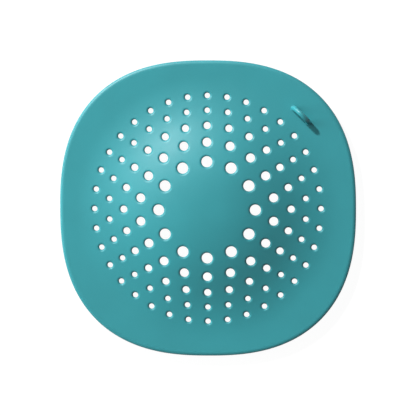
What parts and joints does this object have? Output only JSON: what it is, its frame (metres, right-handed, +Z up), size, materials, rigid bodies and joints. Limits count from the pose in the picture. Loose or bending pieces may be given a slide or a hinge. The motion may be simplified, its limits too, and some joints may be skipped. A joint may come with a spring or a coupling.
{
  "type": "sink strainer mat",
  "caption": "Soft rounded square sink mat with a low perforated dome, a peel loop at one corner and a suction cup under each corner.",
  "frame": {"origin": "on the sink floor under the middle of the mat, level with the lips of the suction cups", "axes": "+Z up, +X to the right and +Y to the back as the mat is seen from above with the peel loop in its back right corner"},
  "size_m": [0.145, 0.145, 0.0174],
  "materials": {
    "mat_rubber": "satin teal thermoplastic rubber with a fine moulded grain",
    "loop_rubber": "satin teal thermoplastic rubber, as the mat",
    "cup_rubber": "smooth soft teal rubber, slightly glossier and lighter than the mat"
  },
  "bodies": {
    "mat": {"strainer_mat": "mat_rubber"},
    "loop": {"peel_loop": "loop_rubber"},
    "cup_front_left": {"suction_cup_front_left": "cup_rubber"},
    "cup_front_right": {"suction_cup_front_right": "cup_rubber"},
    "cup_back_left": {"suction_cup_back_left": "cup_rubber"},
    "cup_back_right": {"suction_cup_back_right": "cup_rubber"}
  },
  "joints": [
    {"name": "loop_bend", "type": "hinge", "parent": "mat", "child": "loop", "pos_m": [0.04561, 0.04561, 0.00845], "axis": [-0.7071, 0.7071, 0], "range_deg": [-75, 75], "stiffness_Nm_per_rad": 0.005},
    {"name": "cup_front_left_press", "type": "slide", "parent": "mat", "child": "cup_front_left", "axis": [0, 0, 1], "range_m": [0, 0.0008], "stiffness_N_per_m": 400, "springref_m": -0.001},
    {"name": "cup_front_right_press", "type": "slide", "parent": "mat", "child": "cup_front_right", "axis": [0, 0, 1], "range_m": [0, 0.0008], "stiffness_N_per_m": 400, "springref_m": -0.001},
    {"name": "cup_back_left_press", "type": "slide", "parent": "mat", "child": "cup_back_left", "axis": [0, 0, 1], "range_m": [0, 0.0008], "stiffness_N_per_m": 400, "springref_m": -0.001},
    {"name": "cup_back_right_press", "type": "slide", "parent": "mat", "child": "cup_back_right", "axis": [0, 0, 1], "range_m": [0, 0.0008], "stiffness_N_per_m": 400, "springref_m": -0.001}
  ]
}
